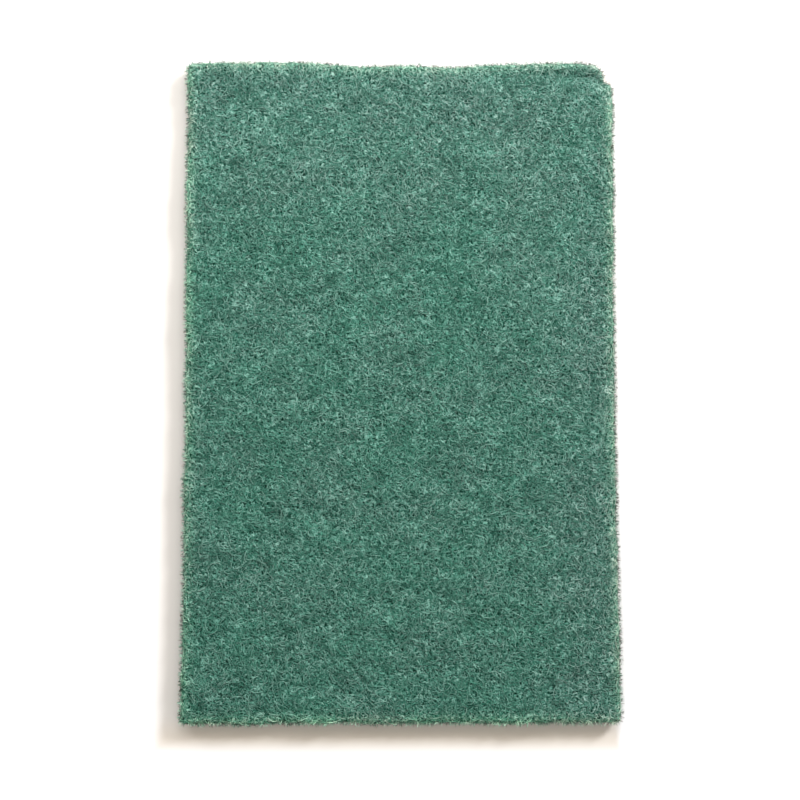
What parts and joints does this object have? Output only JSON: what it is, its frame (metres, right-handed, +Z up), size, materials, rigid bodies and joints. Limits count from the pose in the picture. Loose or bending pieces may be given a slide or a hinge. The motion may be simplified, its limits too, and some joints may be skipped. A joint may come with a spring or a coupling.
{
  "type": "nylon scouring pad",
  "caption": "Flat rectangular pad of green nonwoven nylon web for hand scouring, with ragged cut edges and a crushed corner.",
  "frame": {"origin": "on the surface that the pad lies on, under the middle of its outline", "axes": "+Z up out of the upper face, +Y along the long side towards the end with the shallow dip and the crushed corner, +X along the short side towards that corner"},
  "size_m": [0.1522, 0.231, 0.0079],
  "materials": {
    "web": "matte"
  },
  "bodies": {
    "root": {"scouring_pad": "web"}
  },
  "joints": []
}
